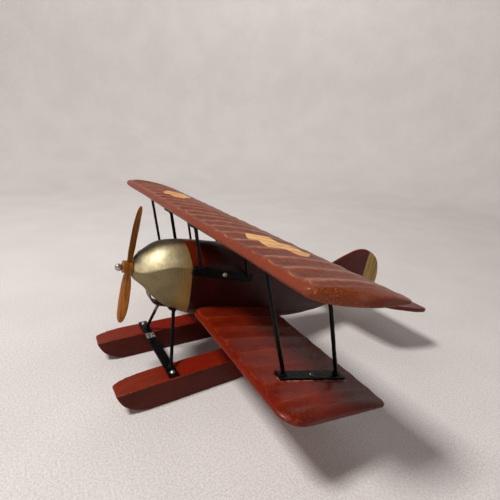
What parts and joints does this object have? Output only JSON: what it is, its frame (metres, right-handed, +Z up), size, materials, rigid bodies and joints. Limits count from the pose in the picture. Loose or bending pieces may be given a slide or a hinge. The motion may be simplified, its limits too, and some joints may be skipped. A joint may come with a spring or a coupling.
{
  "type": "model biplane on floats",
  "caption": "Carved wooden biplane desk model on twin floats, with a free-spinning propeller, metal nose cowl and black strut frames.",
  "frame": {"origin": "centre of the model's footprint on the table, on the centre plane, at the level of the float bottoms", "axes": "+Z up, +X towards the port wing tips, +Y towards the tail, so the nose faces -Y"},
  "size_m": [0.4, 0.3554, 0.1652],
  "materials": {
    "wing_wood": "semi-gloss reddish-brown lacquer on carved wood",
    "body_wood": "semi-gloss dark red-brown lacquer",
    "float_wood": "satin dark red-brown lacquer",
    "pale_wood": "satin pale wood",
    "propeller_wood": "satin honey-brown wood",
    "rudder_wood": "gold-olive stained wood, semi-gloss",
    "cowl_metal": "brushed champagne-coloured metal, lightly tarnished",
    "aged_metal": "browned sheet metal",
    "black_paint": "gloss black paint on steel",
    "screw_steel": "bright steel",
    "screw_brass": "dull brass",
    "washer_brass": "satin"
  },
  "bodies": {
    "airframe": {"upper_wing": "wing_wood", "lower_wing_port": "wing_wood", "lower_wing_starboard": "wing_wood", "wing_inlay_port": "pale_wood", "wing_inlay_starboard": "pale_wood", "fuselage": "body_wood", "nose_cowl": "cowl_metal", "chin_scoop": "aged_metal", "propeller_pin": "screw_steel", "propeller_washer": "washer_brass", "tail_fin": "body_wood", "rudder": "rudder_wood", "tailplane": "body_wood", "fin_dowels": "pale_wood", "lower_wing_dowels": "pale_wood", "interplane_frame_port": "black_paint", "interplane_frame_starboard": "black_paint", "cabane_frame_port": "black_paint", "cabane_frame_starboard": "black_paint", "front_float_frame": "black_paint", "rear_float_frame": "black_paint", "float_port": "float_wood", "float_starboard": "float_wood", "interplane_foot_screws": "screw_steel", "interplane_head_screws": "screw_steel", "cabane_side_screws": "screw_brass", "cabane_head_screws": "screw_steel", "float_deck_screws": "screw_steel", "belly_screws": "screw_steel"},
    "propeller": {"propeller": "propeller_wood"}
  },
  "joints": [
    {"name": "propeller_spin", "type": "hinge", "parent": "airframe", "child": "propeller", "pos_m": [0, -0.15182, 0.1113], "axis": [0, -0.9806, 0.1959], "continuous": true}
  ]
}
